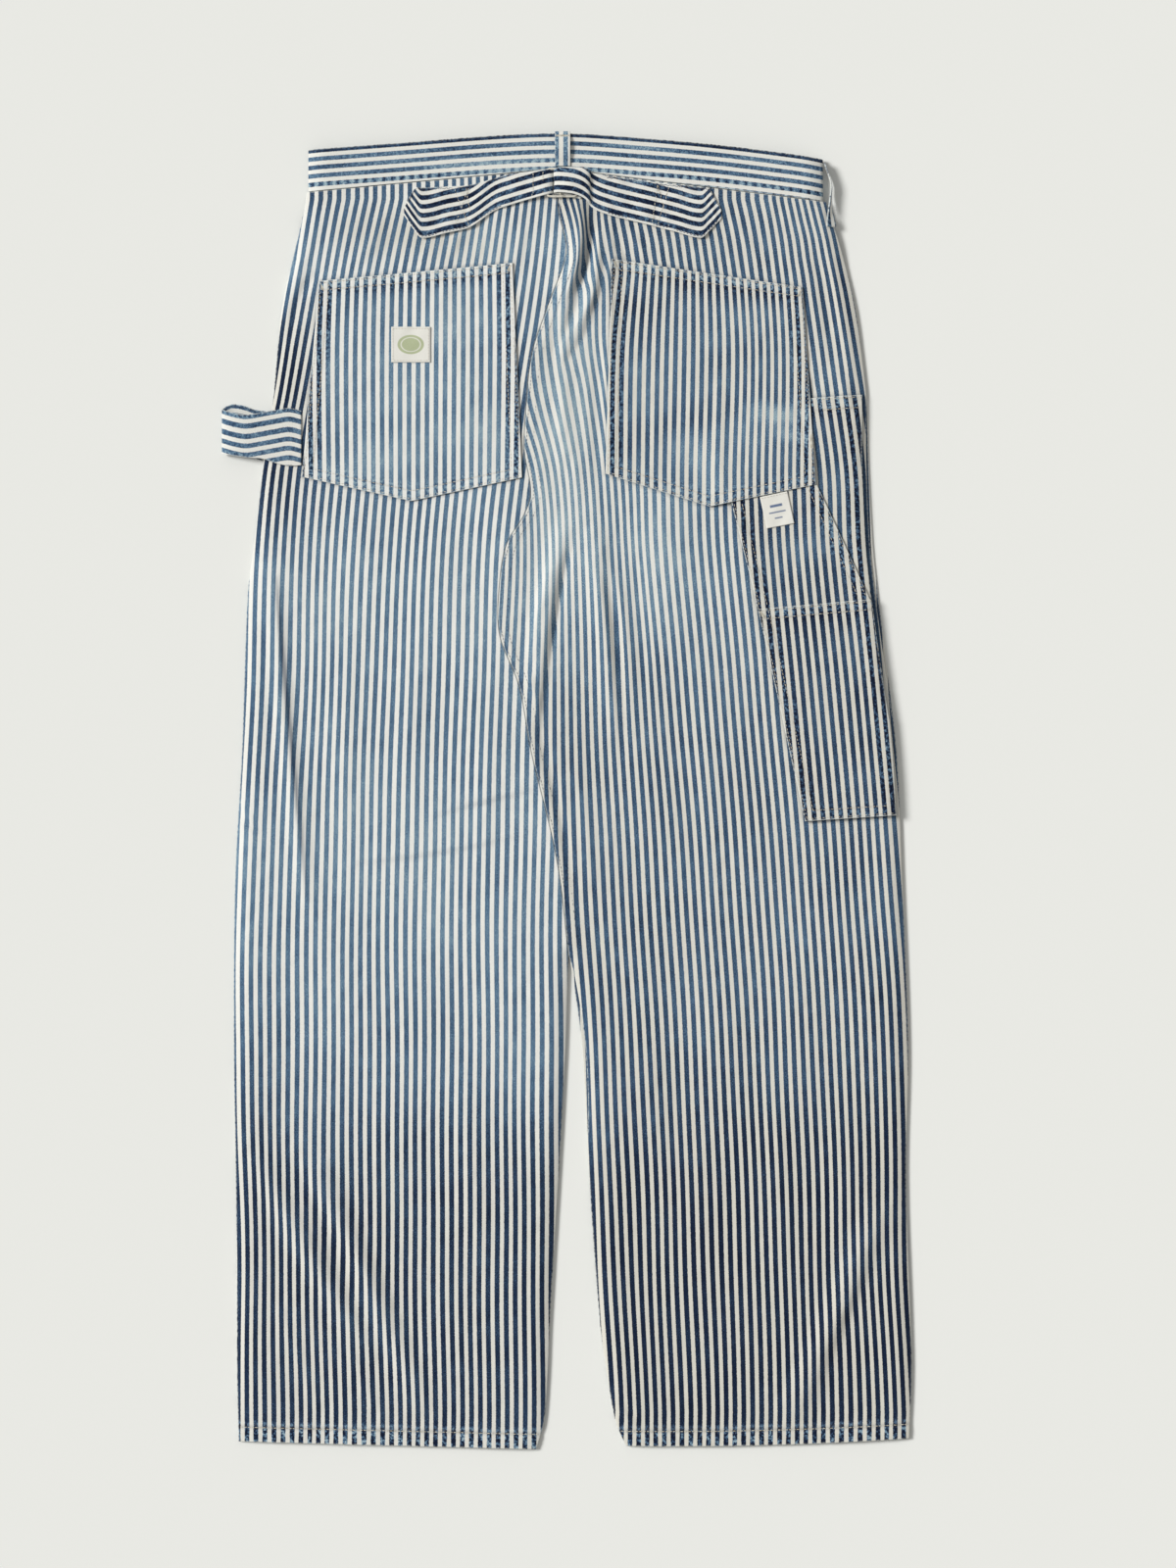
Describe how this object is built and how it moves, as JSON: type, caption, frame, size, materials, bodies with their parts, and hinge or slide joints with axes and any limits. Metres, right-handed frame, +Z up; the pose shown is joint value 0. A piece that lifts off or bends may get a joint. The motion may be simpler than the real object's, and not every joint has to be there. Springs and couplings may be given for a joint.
{
  "type": "striped work trousers",
  "caption": "Striped denim work trousers laid flat with the back up, with patch pockets, a hammer loop, a layered tool pocket and a cinch back.",
  "frame": {"origin": "on the surface that the trousers lie on, under the middle of their box", "axes": "+X to the right of the back view, +Y from the hems to the waist, +Z up from the surface"},
  "size_m": [0.5768, 1.1013, 0.0157],
  "materials": {
    "denim": "washed denim with indigo and cream stripes, matt",
    "label": "woven off-white label, matt",
    "buckle_wire": "cream coating, satin",
    "button": "dull, pressed"
  },
  "bodies": {
    "root": {"front_left": "denim", "front_right": "denim", "back_left": "denim", "back_right": "denim", "waistband": "denim", "waist_button": "button", "tool_pocket_deep": "denim", "tool_pocket_slant": "denim", "tool_pocket_low": "denim", "back_pocket_left": "denim", "back_pocket_right": "denim", "pocket_label": "label", "tab_label": "label", "cinch_tab_left": "denim", "cinch_tab_right": "denim", "cinch_buckle": "buckle_wire", "hammer_loop": "denim", "belt_loop_seat": "denim", "belt_loop_right": "denim", "belt_loop_left": "denim"}
  },
  "joints": []
}
